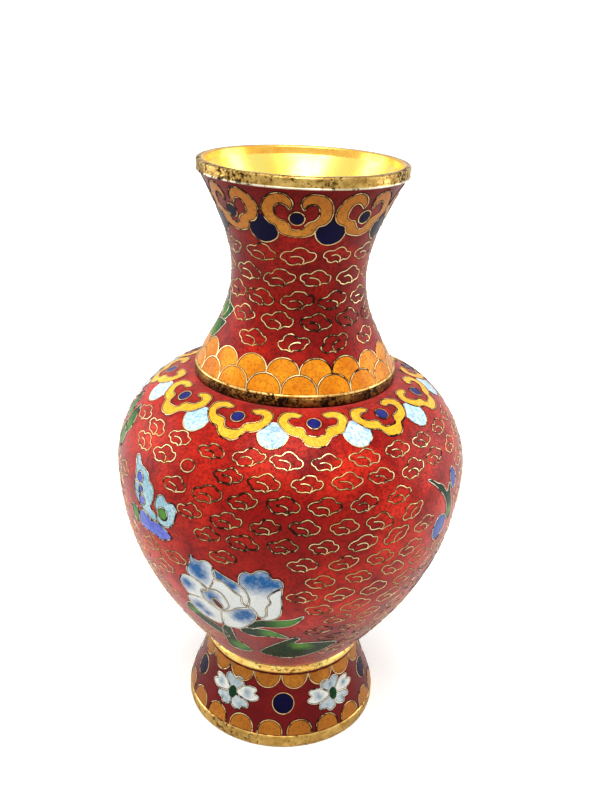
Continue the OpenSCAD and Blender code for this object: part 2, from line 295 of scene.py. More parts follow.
def brass(name, bright, worn, dark, dark_from, dark_to, size_mm, gloss, relief_mm, spots_follow_burn_and_shade=False):
    """Gilt brass: rubbed gold, duller patches and dark pitted tarnish."""
    sh = Shader(name)
    sh.bsdf.inputs["Metallic"].default_value = 1
    wear = sh.steps(sh.noise(size_mm, 4, 0.65), 0.38, 0.62)
    colour = sh.mix(wear, linear(bright), linear(worn))
    patch = sh.times(sh.minus(sh.noise(size_mm * 4, 2, 0.5, 4), 0.5), 0.5)
    spots = sh.plus(sh.noise(size_mm * 0.3, 5, 0.7, 6), patch)
    # Where the burn map is high the dark spots spread, which is partly painted shade.
    if spots_follow_burn_and_shade:
        spots = sh.plus(spots, sh.times(sh.attribute("burn_and_shade_map"), 0.11))
    spots = sh.steps(spots, dark_from, dark_to)
    colour = sh.mix(spots, colour, linear(dark))
    dulled = sh.plus(sh.times(wear, 0.12), gloss)
    rough = sh.plus(sh.times(spots, 0.35), dulled)
    relief = sh.minus(sh.noise(0.9, 3, 0.6, 8), sh.times(spots, 0.8))
    return sh.finish(colour, rough, relief, relief_mm)


red_glass = enamel("red_glass", (216, 46, 27), (134, 17, 13), (76, 8, 6), 0.75, 0.26, 0.55)
neck_glass = enamel("neck_glass", (182, 34, 22), (116, 16, 12), (68, 8, 8), 0.75, 0.26, 0.6)
foot_glass = enamel("foot_glass", (132, 26, 24), (98, 15, 17), (70, 10, 14), 0.1, 0.22)
ochre_glass = enamel("ochre_glass", (212, 144, 54), (180, 110, 36), (122, 70, 24), 0.3)
orange_glass = enamel("orange_glass", (236, 158, 36), (204, 114, 14), (156, 70, 12), 0.35)
foot_scale_glass = enamel("foot_scale_glass", (202, 132, 44), (164, 98, 28), (112, 62, 18), 0.3)
yellow_glass = enamel("yellow_glass", (252, 206, 70), (240, 172, 38), (196, 116, 24), 0.15)
dot_glass = enamel("dot_glass", (58, 66, 150), (26, 28, 104), (12, 12, 60), 0.05, 0.2)
navy_glass = enamel("navy_glass", (12, 8, 58), (6, 4, 36), (3, 2, 20), 0.05, 0.2, shine=0.05, veil=0.12)
pale_glass = enamel("pale_glass", (226, 240, 244), (184, 216, 232), (84, 138, 190), 0.05, 0.24, 0.6)
wing_glass = enamel("wing_glass", (200, 218, 216), (140, 180, 192), (100, 146, 168), 0.05, 0.24, 0.8)
violet_glass = enamel("violet_glass", (144, 142, 222), (80, 98, 194), (50, 62, 160), 0.05, 0.24, 0.7)
cobalt_glass = enamel("cobalt_glass", (66, 92, 168), (34, 54, 140), (20, 30, 90), 0.05)
stamen_glass = enamel("stamen_glass", (92, 36, 40), (64, 20, 24), (40, 10, 14), 0.05)
turquoise_glass = enamel("turquoise_glass", (52, 148, 160), (30, 116, 136), (16, 80, 100), 0.2)
petal_glass = shaded_enamel("petal_glass", (222, 224, 220), (22, 88, 146), (96, 156, 190))
flower_glass = shaded_enamel("flower_glass", (222, 222, 214), (62, 116, 144), (126, 160, 164))
leaf_glass = shaded_enamel("leaf_glass", (16, 48, 28), (80, 134, 50), (8, 28, 18), veil=0.1)

# The wires tarnish more where the burn map is high, which is partly painted shade.
wire_metal = brass("wire_metal", (240, 212, 156), (196, 150, 92), (54, 28, 16), 0.52, 0.66, 7, 0.3, 0.01,
                   spots_follow_burn_and_shade=True)
stain = enamel("stain", (70, 16, 10), (30, 9, 6), (18, 6, 4), 0.3, 0.4)
rim_metal = brass("rim_metal", (216, 180, 100), (148, 112, 50), (52, 34, 14), 0.48, 0.6, 3, 0.3, 0.05)
band_metal = brass("band_metal", (216, 178, 100), (170, 132, 64), (84, 68, 40), 0.53, 0.66, 4, 0.32, 0.05)
collar_metal = brass("collar_metal", (156, 108, 48), (88, 53, 24), (36, 20, 12), 0.42, 0.54, 3, 0.34, 0.06)
edge_metal = brass("edge_metal", (244, 208, 126), (186, 136, 62), (60, 36, 16), 0.52, 0.62, 3, 0.28, 0.04)
joint_metal = brass("joint_metal", (255, 226, 132), (242, 192, 96), (120, 84, 40), 0.55, 0.68, 4, 0.3, 0.05)
fine_metal = brass("fine_metal", (236, 230, 208), (188, 174, 144), (58, 40, 30), 0.52, 0.62, 6, 0.3, 0.01)
throat_metal = brass("throat_metal", (250, 206, 96), (236, 170, 66), (150, 92, 36), 0.6, 0.8, 6, 0.22, 0.03)
lining_metal = brass("lining_metal", (255, 234, 118), (252, 210, 84), (212, 138, 54), 0.62, 0.9, 12, 0.2,
                     0.02)


# Patches as (angle, height, half width in degrees, half height, share). Negative makes a place lighter than
# usual.
# Some patches are firing burn and some are painted light: the dark ones on the front of the belly and neck
# are painted shade and a painted dark reflection, and the dark band round the top of the neck, under the
# mouth ring, is painted shadow.
BURN_AND_SHADE_PATCHES = (
    (-8, 80, 26, 9, 0.7),
    (-4, 66, 26, 7, 0.3),
    (0, 122, 40, 9, 0.5),
    (8, 38, 30, 9, 0.4),
    (0, 93, 60, 5, -0.6),
    (-30, 55, 20, 8, -0.3),
    (150, 72, 40, 14, 0.5),
    (0, 148, 900, 9, 0.5),
    (-20, 108, 50, 6, -0.4),
    (0, 147, 70, 3, 0.6),
    (0, 5, 900, 5, 0.6),
)


# ---- Mesh helpers ----

def burn_and_shade(points):
    """How much each place is darkened, 0 to 1, by point in mm: firing burn in soft waves, and patches, part
    of which are painted shade and a painted reflection.
    """
    x, y, z = np.asarray(points, dtype=float).T
    angle = np.degrees(np.arctan2(x, -y))
    waves = (np.sin(x * 0.13 + 0.6) * np.sin(z * 0.17 + 1.0)
             + np.sin(y * 0.11 + 1.5) * np.sin(z * 0.09 + 2.0)
             + 0.5 * np.sin((x + z) * 0.31) * np.sin((y - z) * 0.27))
    value = 0.3 + 0.28 * waves
    for middle, height, wide, tall, share in BURN_AND_SHADE_PATCHES:
        off = ((angle - middle + 180) % 360 - 180) / wide
        value = value + share * np.exp(-off ** 2 - ((z - height) / tall) ** 2)
    return np.clip(value, 0, 1)


RING_CREASE = 40    # degrees
CELL_CREASE = 50


def build(name, verts, faces, material, slot, replaced=(), crease=RING_CREASE, shade=None):
    """One piece from points in millimetres, riding on the vase."""
    mesh = bpy.data.meshes.new(name)
    mesh.from_pydata([tuple(v) for v in np.asarray(verts, dtype=float) * MM], [], faces)
    mesh.validate()
    # The burn map is partly painted shade and a painted reflection; the glass and the wires darken by it.
    mesh.attributes.new("burn_and_shade_map", "FLOAT", "POINT").data.foreach_set("value", burn_and_shade(verts))
    if shade is not None:
        mesh.attributes.new("shade", "FLOAT", "POINT").data.foreach_set("value", shade)
    mesh.shade_smooth()
    mesh.set_sharp_from_angle(angle=math.radians(crease))
    mesh.materials.append(material)
    piece = bpy.data.objects.new(name, mesh)
    bpy.context.scene.collection.objects.link(piece)
    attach(piece, "root")
    if replaced:
        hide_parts(*replaced)


def lathe(outline, turns=288, wobble=0.0, seed=0):
    """A closed outline of (radius, height) turned about the axis, with slight hand-made unevenness."""
    outline = np.asarray(outline, dtype=float)
    count = len(outline)
    angles = np.arange(turns) * 2 * math.pi / turns
    uneven = wobble * (np.sin(3 * angles + seed) + 0.6 * np.sin(7 * angles + 2 * seed)
                       + 0.4 * np.sin(17 * angles + 3 * seed))
    radius = outline[None, :, 0] + uneven[:, None]
    verts = np.stack([radius * np.sin(angles)[:, None], -radius * np.cos(angles)[:, None],
                      np.repeat(outline[None, :, 1], turns, axis=0)], axis=-1).reshape(-1, 3)
    faces = []
    for i in range(turns):
        here, there = i * count, (i + 1) % turns * count
        faces += [(here + k, there + k, there + (k + 1) % count, here + (k + 1) % count)
                  for k in range(count)]
    return verts, faces


def arc(centre, radius, start, end, count=8):
    """Points on an arc, angles in degrees."""
    turns = np.radians(np.linspace(start, end, count))
    return [(centre[0] + radius * math.cos(a), centre[1] + radius * math.sin(a)) for a in turns]


def curve(points, closed, step):
    """A smooth curve through points, with evenly spaced stations."""
    points = np.asarray(points, dtype=float)
    count = len(points)
    spans = count if closed else count - 1
    fine = []
    for i in range(spans):
        near = np.arange(i - 1, i + 3)
        a, b, c, d = points[near % count if closed else near.clip(0, count - 1)]
        t = np.linspace(0, 1, 12, endpoint=False)[:, None]
        fine.append(0.5 * (2 * b + (c - a) * t + (2 * a - 5 * b + 4 * c - d) * t ** 2
                           + (3 * b - a - 3 * c + d) * t ** 3))
    fine.append(points[:1] if closed else points[-1:])
    fine = np.concatenate(fine)
    run = np.concatenate([[0], np.cumsum(np.hypot(*np.diff(fine, axis=0).T))])
    stations = max(int(round(run[-1] / step)), 3)
    want = np.linspace(0, run[-1], stations + 1)
    even = np.stack([np.interp(want, run, fine[:, 0]), np.interp(want, run, fine[:, 1])], axis=1)
    return even[:-1] if closed else even


def turned(points, degrees, scale=1.0, shift=(0, 0), flip=False):
    """Flat points mirrored, scaled, turned and moved."""
    points = np.array(points, dtype=float) * scale
    if flip:
        points[:, 0] *= -1
    a = math.radians(degrees)
    matrix = np.array([[math.cos(a), math.sin(a)], [-math.sin(a), math.cos(a)]])
    return points @ matrix + np.asarray(shift, dtype=float)


class Pile:
    """Many small shapes gathered into one piece."""

    def __init__(self):
        self.verts = []
        self.faces = []
        self.shade = []

    def add(self, verts, faces, shade=None):
        start = len(self.verts)
        self.verts.extend(np.asarray(verts).tolist())
        self.faces.extend(tuple(start + i for i in f) for f in faces)
        self.shade.extend([0.0] * len(verts) if shade is None else list(shade))

    def build(self, name, material, slot, replaced=()):
        build(name, self.verts, self.faces, material, slot, replaced, CELL_CREASE, self.shade)


# Cross-section of a bent wire: across and up, as shares of its width and height.
WIRE_SECTION = ((-0.5, -1.2), (-0.42, 0.65), (0.0, 1.0), (0.42, 0.65), (0.5, -1.2))
STAIN_SECTION = ((-0.5, 0.0), (0.5, 0.0))
WIRE_W = 0.27
FINE_W = 0.22
WIRE_H = 0.10
WIRE_STEP = 0.42


def offsets(flat, closed):
    """Unit vectors across a flat path."""
    if closed:
        along = np.roll(flat, -1, axis=0) - np.roll(flat, 1, axis=0)
    else:
        along = np.gradient(flat, axis=0)
    along /= np.maximum(np.hypot(along[:, 0], along[:, 1]), 1e-9)[:, None]
    return np.stack([along[:, 1], -along[:, 0]], axis=1)


def sweep(pile, wall, flat, centre, closed, lift, width, height, section):
    """A section swept along a flat path on the wall. Width may vary from station to station."""
    across = offsets(flat, closed)
    width = np.broadcast_to(width, (len(flat),))
    lines = []
    for side, up in section:
        lines.append(wall.place(flat + across * (side * width)[:, None], centre, lift + up * height))
    count = len(section)
    verts = np.stack(lines, axis=1).reshape(-1, 3)
    faces = []
    spans = len(flat) if closed else len(flat) - 1
    for i in range(spans):
        j = (i + 1) % len(flat)
        for k in range(count - 1):
            faces.append((i * count + k, j * count + k, j * count + k + 1, i * count + k + 1))
    if not closed and count > 2:
        faces.append(tuple(range(count - 1, -1, -1)))
        faces.append(tuple((len(flat) - 1) * count + k for k in range(count)))
    pile.add(verts, faces)


def wire(pile, stains, wall, points, centre, closed=False, lift=0.0, width=WIRE_W):
    """A bent wire on edge, with the dark line that the firing leaves along it."""
    flat = curve(points, closed, WIRE_STEP)
    sweep(pile, wall, flat, centre, closed, lift, width, WIRE_H, WIRE_SECTION)
    ripple = np.array([rng.uniform(0.7, 1.3) for _ in flat])
    ripple = np.convolve(np.concatenate([ripple[-2:], ripple, ripple[:2]]), np.ones(5) / 5, "valid")
    # The dark line is wider where the burn map is high, which is partly painted shade.
    spread = (0.18 + 0.2 * burn_and_shade(wall.place(flat, centre, 0))) * ripple
    sweep(stains, wall, flat, centre, closed, lift + 0.02, width + spread, 0.0, STAIN_SECTION)


def cell(pile, wall, points, centre, lift, shade=None, smooth=True, grid=0.8, step=0.5):
    """A closed cell of enamel whose face stands lift above the ground, with a skirt down into it."""
    edge = curve(points, True, step) if smooth else np.asarray(points, dtype=float)
    count = len(edge)
    low, high = edge.min(axis=0), edge.max(axis=0)
    inside = []
    for x in np.arange(low[0] + grid / 2, high[0], grid):
        for y in np.arange(low[1] + grid / 2, high[1], grid):
            if within(edge, x, y) and np.hypot(edge[:, 0] - x, edge[:, 1] - y).min() > grid * 0.45:
                inside.append((x, y))
    flat = [Vector(p) for p in edge.tolist() + inside]
    ring = [(i, (i + 1) % count) for i in range(count)]
    found = delaunay_2d_cdt(flat, ring, [], 1, 1e-5)
    top = np.array([tuple(v) for v in found[0]])
    verts = wall.place(top, centre, lift)
    faces = []
    for face in found[2]:
        a, b, c = (top[i] for i in face[:3])
        turn = (b[0] - a[0]) * (c[1] - a[1]) - (b[1] - a[1]) * (c[0] - a[0])
        faces.append(tuple(face) if turn > 0 else tuple(reversed(face)))
    tone = np.zeros(len(top)) if shade is None else shade(top)
    pile.add(verts, faces, tone)
    skirt = np.concatenate([wall.place(edge, centre, lift), wall.place(edge, centre, -0.3)])
    area = np.sum(edge[:, 0] * np.roll(edge[:, 1], -1) - np.roll(edge[:, 0], -1) * edge[:, 1])
    sides = []
    for i, j in ring:
        quad = (i, i + count, j + count, j)
        sides.append(quad if area > 0 else tuple(reversed(quad)))
    rim_tone = np.zeros(len(edge)) if shade is None else shade(edge)
    pile.add(skirt, sides, np.concatenate([rim_tone, rim_tone]))


def within(edge, x, y):
    """Whether a flat point is inside a closed flat path."""
    x0, y0 = edge[:, 0], edge[:, 1]
    x1, y1 = np.roll(x0, -1), np.roll(y0, -1)
    crosses = (y0 > y) != (y1 > y)
    with np.errstate(divide="ignore", invalid="ignore"):
        at = (x1 - x0) * (y - y0) / (y1 - y0) + x0
    return bool(np.count_nonzero(crosses & (x < at)) % 2)


def circle(radius, centre=(0, 0), count=20):
    return [(centre[0] + radius * math.cos(a), centre[1] + radius * math.sin(a))
            for a in np.linspace(0, 2 * math.pi, count, endpoint=False)]


# ---- Grounds, lining and turned rings ----

COAT = 1.0      # enamel thickness
COPPER = 0.8    # wall of the spun sections


def coat_outline(wall, rows, inner, outer=0.0):
    """A skin between two depths below the outer face."""
    s = np.linspace(0, wall.length, rows)
    radius, height, n_r, n_z = wall.along(s)
    face = list(zip(radius - outer * n_r, height - outer * n_z))
    back = list(zip(radius - inner * n_r, height - inner * n_z))
    return face[::-1] + back


def ground(name, wall, material, slot, node):
    rows = int(wall.length / 0.8)
    build(name, *lathe(coat_outline(wall, rows, COAT), 320), material, slot, (node,))


ground("neck_ground", neck, neck_glass, "red_enamel", "neck_enamel")
ground("belly_ground", belly, red_glass, "red_enamel", "belly_enamel")
ground("foot_ground", foot, foot_glass, "dark_red_enamel", "foot_enamel")

lining = coat_outline(neck, 60, COAT + COPPER, COAT)
build("neck_lining", *lathe(lining, 200), lining_metal, "gilt_copper", ("neck_shell",))


def ring_box(node):
    """Lowest and highest z and the outer radius of a turned ring, in mm."""
    low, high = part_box(node)
    return low[2] / MM, high[2] / MM, high[0] / MM


_, lip_top, lip_r = ring_box("mouth_ring")
mouth_z = neck.high
lip_in = lip_r - 1.9
lip = ([(lip_r - 1.2, mouth_z + 0.03), (lip_r - 0.75, mouth_z + 0.03)]
       + arc((lip_r - 0.4, mouth_z + 0.32), 0.3, -90, 40, 6)
       + arc((lip_r - 0.5, mouth_z + 1.0), 0.36, -20, 30, 4)
       + arc((lip_r - 0.6, lip_top - 0.6), 0.6, 0, 90, 8)
       + [(lip_r - 1.2, lip_top)])
build("mouth_lip", *lathe(lip, 288, 0.03, 1), rim_metal, "gilt_brass", ("mouth_ring",))
lip_bead = arc((lip_r - 0.33, mouth_z + 0.25), 0.28, 0, 345, 12)
build("mouth_bead", *lathe(lip_bead, 288, 0.03, 1), fine_metal, "gilt_brass")
throat = ([(lip_r - 1.2, mouth_z + 0.03), (lip_r - 1.2, lip_top)]
          + arc((lip_in + 0.5, lip_top - 0.5), 0.5, 90, 180, 6)
          + [(lip_in - 0.1, lip_top - 1.4), (lip_in - 0.5, mouth_z + 0.3), (lip_in - 1.3, mouth_z - 1.3)]
          + [(lip_in - 0.9, mouth_z - 1.3), (lip_in - 0.2, mouth_z)])
build("mouth_throat", *lathe(throat, 240), throat_metal, "gilt_brass")

_, _, collar_r = ring_box("neck_collar")
collar_top = neck.low
seat_z = belly.high - 0.05
collar = ([(collar_r - 3.5, seat_z - 1.2), (collar_r - 0.5, seat_z - 1.2)]
          + arc((collar_r - 0.35, seat_z + 0.35), 0.35, -80, 0, 4)
          + arc((collar_r - 0.35, collar_top - 0.9), 0.35, 0, 60, 4)
          + [(collar_r - 3.5, collar_top - 0.6)])
build("collar_band", *lathe(collar, 288, 0.04, 2), collar_metal, "tarnished_brass", ("neck_collar",))
bead_r = 0.42
bead = arc((neck.radius_at(0) + 0.1, collar_top - 0.25), bead_r, 0, 345, 16)
build("collar_bead", *lathe(bead, 288, 0.03, 2), edge_metal, "gilt_brass")

joint_low, joint_top, joint_r = ring_box("foot_joint_ring")
joint_half = (joint_top - joint_low) / 2
joint_seat = joint_r - joint_half - 1.0
joint = ([(joint_seat, joint_low)]
         + arc((joint_r - joint_half, joint_low + joint_half), joint_half, -90, 90, 14)
         + [(joint_seat, joint_top)])
build("joint_bead", *lathe(joint, 240, 0.03, 3), joint_metal, "gilt_brass", ("foot_joint_ring",))

base_low, _, base_r = ring_box("foot_ring")
base_top = foot.low
band = ([(base_r - 4, base_low), (base_r - 0.9, base_low)]
        + arc((base_r - 0.7, base_low + 0.5), 0.5, -80, 0, 5)
        + arc((base_r - 0.6, base_low + 1.3), 0.6, -20, 20, 4)
        + arc((base_r - 0.8, base_top - 0.8), 0.8, 5, 75, 6)
        + [(base_r - 3.2, base_top), (base_r - 3.2, base_top - 1.4), (base_r - 4, base_top - 1.4)])
build("foot_band", *lathe(band, 288, 0.03, 4), band_metal, "gilt_brass", ("foot_ring",))

for node in ("shoulder_shell", "belly_shell", "foot_shell", "base_plate", "base_enamel"):
    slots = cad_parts[node].data.materials
    slots.clear()
    slots.append(turquoise_glass if node == "base_enamel" else lining_metal)


# ---- Cloud-collar heads, lappets and dots ----

# Left half of a head, from the curl's tip round the outside to the middle, and back along the inside.
HEAD_OUTSIDE = ((-1.3, 2.4), (-0.9, 3.8), (-1.5, 5.3), (-3.0, 6.4), (-4.8, 6.6), (-6.6, 5.8),
                (-7.8, 4.1), (-8.2, 1.9), (-7.6, -0.1), (-6.3, -1.4), (-4.7, -2.1), (-4.3, -3.1),
                (-3.5, -4.0), (-1.9, -4.7), (0, -4.9))
HEAD_INSIDE = ((0, -3.1), (-1.3, -2.6), (-1.8, -1.6), (-2.7, -0.7), (-3.9, -0.3), (-4.9, 0.7),
               (-5.1, 2.1), (-4.6, 3.4), (-3.6, 3.9), (-2.5, 3.3), (-1.7, 2.3))
SHOULDER_OUTSIDE = ((-2.5, 2.4), (-2.4, 3.1), (-4.2, 3.9), (-6.3, 3.4), (-7.6, 2.1), (-8.1, 0.3),
                    (-7.6, -1.5), (-6.4, -2.9), (-4.9, -3.6), (-3.7, -3.9), (-3.1, -4.9), (-2.1, -6.0),
                    (-0.8, -6.4), (0, -6.4))
SHOULDER_INSIDE = ((0, -3.7), (-1.3, -3.6), (-2.1, -3.0), (-2.3, -2.0), (-2.9, -1.3), (-4.0, -1.1),
                   (-5.1, -0.6), (-5.7, 0.3), (-5.5, 1.3), (-4.5, 1.8), (-3.4, 1.7))


def head_points(outside, inside):
    """The closed outline of one head from its left half."""
    right = [(-x, y) for x, y in outside[-2::-1]]
    inner_right = [(-x, y) for x, y in inside[:0:-1]]
    return [*outside, *right, *inner_right, *inside]


def jitter(points, amount):
    return [(x + rng.uniform(-amount, amount), y + rng.uniform(-amount, amount)) for x, y in points]


def head_ring(prefix, wall, count, start, s, shape, lappet, dot_r, looks):
    """Heads with a dot in each and a lappet hanging between them. Returns what they cover.

    lappet is its drop, radius and opening in degrees. looks are glass, slot and node of the heads,
    the lappets and the dots.
    """
    lappet_drop, lappet_r, lappet_open = lappet
    heads, lappets, dots, wires, stains = Pile(), Pile(), Pile(), Pile(), Pile()
    covered = []
    pitch = 360 / count
    for i in range(count):
        centre = (start + i * pitch + rng.uniform(-0.6, 0.6), s)
        points = jitter(head_points(*shape), 0.14)
        cell(heads, wall, points, centre, 0.05, step=0.35)
        wire(wires, stains, wall, points, centre, True, 0.05, 0.24)
        cell(dots, wall, circle(dot_r), centre, 0.06)
        wire(wires, stains, wall, circle(dot_r + 0.15), centre, True, 0.05)
        between = (start + (i + 0.5) * pitch, s - lappet_drop)
        cell(lappets, wall, jitter(circle(lappet_r, (0, 0), 12), 0.12), between, 0.025)
        rim = jitter(arc((0, 0), lappet_r, 180 - lappet_open, 360 + lappet_open, 9), 0.06)
        wire(wires, stains, wall, rim, between)
        covered.append((centre, curve(shape[0] + tuple((-x, y) for x, y in shape[0][::-1]), True, 1)))
        covered.append((between, np.array(circle(lappet_r))))
    kinds = zip(("heads", "lappet_cells", "dot_cells"), (heads, lappets, dots), looks)
    for name, pile, (glass, slot, node) in kinds:
        pile.build(f"{prefix}_{name}", glass, slot, (node,))
    wires.build(prefix + "_head_wires", wire_metal, "wire_brass")
    stains.build(prefix + "_head_stains", stain, "red_enamel")
    return covered


# Distance of the heads' middles below the top of their section.
NECK_HEADS_DOWN = 6.9
SHOULDER_HEADS_DOWN = 6.2

neck_covered = head_ring(
    "neck", neck, count=8, start=-2.5, s=neck.s_at(neck.high - NECK_HEADS_DOWN),
    shape=(HEAD_OUTSIDE, HEAD_INSIDE), lappet=(3.2, 3.7, -6), dot_r=1.6,
    looks=((ochre_glass, "ochre_enamel", "neck_heads_inlay"),
           (navy_glass, "navy_enamel", "neck_lappets"),
           (navy_glass, "navy_enamel", "neck_dots")))
shoulder_covered = head_ring(
    "shoulder", belly, count=11, start=9.3, s=belly.length - SHOULDER_HEADS_DOWN,
    shape=(SHOULDER_OUTSIDE, SHOULDER_INSIDE), lappet=(3.6, 3.6, -2), dot_r=1.5,
    looks=((yellow_glass, "yellow_enamel", "shoulder_heads_inlay"),
           (pale_glass, "pale_blue_enamel", "shoulder_lappets"),
           (dot_glass, "navy_enamel", "shoulder_dots")))


# ---- Scale borders ----

def scale_outline(half, root, up):
    """A round-ended scale: straight sides from its root, then a half circle. Up is 1 or -1."""
    cap = [(half * math.cos(a), up * half * math.sin(a)) for a in np.linspace(0, math.pi, 13)]
    return cap + [(-half, -up * root), (half, -up * root)]


def scale_row(cells, wires, stains, wall, count, start, s, up, root, legs, lift, fill):
    half = math.pi * wall.radius_at(s) / count * fill
    for i in range(count):
        centre = (start + i * 360 / count, s)
        size = half * rng.uniform(0.97, 1.0)
        outline = scale_outline(size, root, up)
        flat = []
        for a, b in zip(outline, outline[1:] + outline[:1]):
            flat += [tuple(np.array(a) + (np.array(b) - np.array(a)) * t) for t in (0, 0.5)]
        cell(cells, wall, flat, centre, lift, smooth=False)
        path = outline[:13]
        if legs:
            path = [(size, -up * legs)] + path + [(-size, -up * legs)]
        wire(wires, stains, wall, path, centre, False, lift)


# Piece, node, glass, section, how many, first angle, s, way up, root, legs, lift, share of the pitch.
SCALES = (
    ("upper_scales", "neck_upper_scales", orange_glass, neck, 18, 13, 4.7, 1, 4.0, 0, 0.02, 1),
    ("lower_scales", "neck_lower_scales", orange_glass, neck, 18, 3, 0.5, 1, 0.4, 0.4, 0.05, 1),
    ("hanging_scales", "foot_upper_scales_inlay", foot_scale_glass, foot, 18, 10, foot.length - 0.5, -1,
     0.4, 0.4, 0.03, 0.96),
    ("standing_scales", "foot_lower_scales_inlay", foot_scale_glass, foot, 20, -5.4, 0.9, 1, 0.8, 0.7,
     0.03, 0.84),
)


def scale_borders():
    wires, stains = Pile(), Pile()
    for name, node, glass, *row in SCALES:
        cells = Pile()
        scale_row(cells, wires, stains, *row)
        cells.build(name, glass, "orange_enamel", (node,))
    wires.build("scale_wires", wire_metal, "wire_brass")
    stains.build("scale_stains", stain, "red_enamel")


scale_borders()


# ---- Foot flowers and bosses ----

FLOWER_PETAL = ((-0.5, 0.9), (-1.5, 2.0), (-2.0, 3.3), (-1.5, 4.6), (-0.7, 4.7), (0, 4.1), (0.7, 4.7),
                (1.5, 4.6), (2.0, 3.3), (1.5, 2.0), (0.5, 0.9))
PETAL_TINTS = (0.5, 0.03, 0.45, 0.4, 0.03)
PETAL_SIZES = (1, 1, 0.88, 0.86, 1)


def flower(petals, centres, wires, stains, wall, centre, size, squash, start):
    """Five heart-shaped petals, two of them white, round a tall green heart."""
    for k in range(5):
        petal = turned(FLOWER_PETAL, start + k * 72, size * PETAL_SIZES[k] * rng.uniform(0.95, 1.05))
        petal[:, 1] *= squash
        spot = turned([(0, 3.0)], start + k * 72, size)[0] * (1, squash)

        def tone(points, spot=spot, tint=PETAL_TINTS[k]):
            near = 1.0 - np.hypot(points[:, 0] - spot[0], points[:, 1] - spot[1]) / (1.3 * size)
            return np.clip(np.maximum(near * 0.8, tint), 0, 1)
        cell(petals, wall, petal, centre, 0.04 + 0.004 * k, tone, grid=0.5, step=0.35)
        wire(wires, stains, wall, petal, centre, True, 0.04, FINE_W)
    heart = [(x * 0.7, y) for x, y in circle(1.1 * size)]
    cell(centres, wall, heart, centre, 0.16)


def foot_motifs():
    petals, centres, bosses, wires, silver, stains = (Pile() for _ in range(6))
    middle = foot.s_at(12.4)
    for i in range(5):
        angle = 2.2 + i * 72
        cell(bosses, foot, circle(2.7), (angle, middle), 0.04)
        wire(wires, stains, foot, circle(2.9), (angle, middle), True, 0.02, 0.24)
        flower(petals, centres, silver, stains, foot, (angle + 36, middle + 0.1), 1.55, 0.66,
               5 + rng.uniform(-6, 6))
    petals.build("foot_flower_petals", flower_glass, "white_blue_enamel", ("foot_petals",))
    silver.build("foot_flower_wires", fine_metal, "wire_brass")
    centres.build("foot_flower_hearts", leaf_glass, "green_enamel", ("foot_flower_centres",))
    bosses.build("foot_boss_cells", navy_glass, "navy_enamel", ("foot_bosses",))
    wires.build("foot_motif_wires", wire_metal, "wire_brass")
    stains.build("foot_motif_stains", stain, "red_enamel")


foot_motifs()

# ---- Peony, leaves, butterfly and sprig ----

# Each petal: outline, then the places where the blue gathers as (x, y, reach).
PEONY = (
    (((-14.0, -0.5), (-12.5, 2.2), (-10, 2.6), (-8, 2), (-5.5, 0), (-7.2, -4.3), (-9.2, -4.4),
      (-12, -4.6), (-13.2, -2)),
     ((-11.7, -0.6, 2.0),)),
    (((-9.5, 9.8), (-8.5, 9), (-7.2, 8.6), (-5.5, 9.4), (-4, 8.8), (-3.3, 7.2), (-3, 5), (-4.3, 2),
      (-5.6, 0.2), (-8, 1.8), (-10, 2.6), (-11, 3.8), (-10.8, 5.6), (-9.9, 7)),
     ((-8.4, 6.2, 3.2), (-7.2, 4.6, 2.4))),
    (((-12.6, -6), (-9.6, -4.6), (-7, -4.6), (-4.5, -5.8), (-2.5, -7.5), (-3, -12), (-4.2, -13.9),
      (-6.2, -13.9), (-8.6, -12.8), (-11, -10.8)),
     ((-9.6, -8.4, 1.9), (-7.4, -10.7, 1.4))),
    (((-7.5, -1), (-5.5, 0), (-4.3, 2), (-3, 4.6), (-1, 4), (1, 2.2), (3, 0.6), (3.2, -1.4),
      (4.4, -3.4), (1.5, -4.4), (-0.5, -6.4), (-3, -7.4), (-7, -4.4)),
     ()),
    (((-3.5, 7.5), (-1.5, 6.7), (1, 5.5), (3, 4.4), (4.4, 2.4), (5, 0), (4.6, -2.2), (3.4, -2.6),
      (3, -1), (3, 0.6), (2, 1.1), (0.6, 2.4), (-1, 4), (-3, 4.6)),
     ((-2.2, 6.0, 2.6), (0.8, 3.8, 2.0))),
    (((3.2, 4), (2.8, 5.4), (3.2, 7.6), (4.6, 8.8), (6, 8.5), (7.4, 9.6), (9, 9.8), (10.2, 9),
      (10.7, 7.6), (12.2, 7.6), (13.2, 6.4), (13, 4.6), (11.8, 4.1), (10.6, 3), (9.6, 1.6), (10, -0.4),
      (9, -2), (8.6, -4.8), (7.8, -6.6), (6.4, -6), (5.6, -3.6), (4.6, -2.2), (5, 0), (4.4, 2.2)),
     ((6.0, 6.4, 3.4), (9.0, 6.4, 3.6), (11.6, 5.8, 2.0))),
    (((13, 4.6), (12.7, 1.5), (12.5, -2), (11.6, -5.6), (9, -7.6), (7, -7.4), (8.6, -5.6), (8.6, -3.4),
      (9, -2), (10, -0.4), (9.6, 1.6), (10.6, 3), (11.8, 4.1)),
     ()),
    (((-2.8, -7.6), (-0.6, -6.4), (1.5, -4.4), (3.4, -3.6), (5, -3.2), (6.2, -5), (5.6, -8), (3.6, -11),
      (1.4, -13.4), (-1, -14.2), (-3.2, -13.6), (-3.4, -11)),
     ((3.2, -6.4, 3.2), (1.6, -8.2, 2.0))),
    (((-7.4, -1.2), (-6.2, -0.8), (-4.2, 0.7), (-2.2, 0.3), (-1, -1.8), (-0.6, -4.6), (-2.4, -6.6),
      (-4.2, -5.4), (-5.6, -4.8), (-7, -4.2)),
     ((-5.0, -2.0, 2.2),)),
)
STAMEN = ((-4.6, -2.6), (-3.4, -2.8), (-2.2, -4.6), (-2.2, -6.0), (-3.4, -5.8), (-4.4, -4.2))
